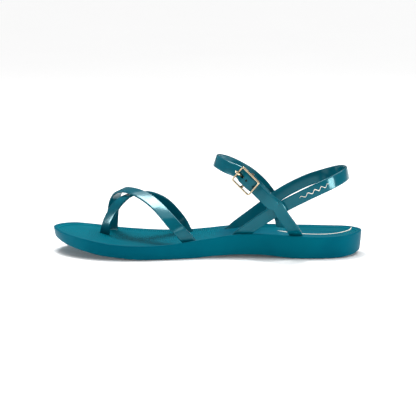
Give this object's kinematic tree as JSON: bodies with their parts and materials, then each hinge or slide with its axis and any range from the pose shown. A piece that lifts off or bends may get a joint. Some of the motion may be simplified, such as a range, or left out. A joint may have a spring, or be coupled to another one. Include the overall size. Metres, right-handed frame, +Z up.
{
  "type": "strappy toe-post sandal",
  "caption": "Moulded flat sandal with crossed toe straps that form a big-toe loop, a slingback strap and a buckled ankle strap; left foot.",
  "frame": {"origin": "centre of the bounding box in plan, on the ground under the treads", "axes": "+X towards the heel, -X towards the toe, -Y towards the outer (lateral) side, +Y towards the inner (medial) side, +Z up"},
  "size_m": [0.2524, 0.0848, 0.0803],
  "materials": {
    "sole_vinyl": "satin moulded vinyl, ribbed footbed",
    "strap_vinyl": "glossy",
    "tread_vinyl": "matte",
    "pale_gold_metal": "polished pale gold plating"
  },
  "bodies": {
    "sole": {"sole_body": "sole_vinyl", "forefoot_tread": "tread_vinyl", "heel_tread": "tread_vinyl", "toe_over_strap": "strap_vinyl", "toe_under_strap": "strap_vinyl"},
    "heel_strap": {"slingback_strap": "strap_vinyl"},
    "ankle_ring": {"ankle_strap_long": "strap_vinyl", "ankle_strap_short": "strap_vinyl", "fold_rivet_stud": "pale_gold_metal", "fold_rivet_cap": "pale_gold_metal"},
    "buckle": {"buckle_frame": "pale_gold_metal"},
    "prong": {"buckle_prong": "pale_gold_metal"}
  },
  "joints": [
    {"name": "heel_strap_rock", "type": "hinge", "parent": "sole", "child": "heel_strap", "pos_m": [0.02016, 0, 0.0115], "axis": [0, 1, 0], "range_deg": [-6, 6]},
    {"name": "ankle_ring_rock", "type": "hinge", "parent": "sole", "child": "ankle_ring", "pos_m": [0.06917, 0, 0.0115], "axis": [0, 1, 0], "range_deg": [-5, 5]},
    {"name": "buckle_rock", "type": "hinge", "parent": "ankle_ring", "child": "buckle", "pos_m": [0.03372, -0.03222, 0.06402], "axis": [0.6181, -0.2216, 0.7542], "range_deg": [-2.5, 2.5]},
    {"name": "prong_lift", "type": "hinge", "parent": "buckle", "child": "prong", "pos_m": [0.03372, -0.03222, 0.06402], "axis": [0.6181, -0.2216, 0.7542], "range_deg": [0, 3.5]}
  ]
}
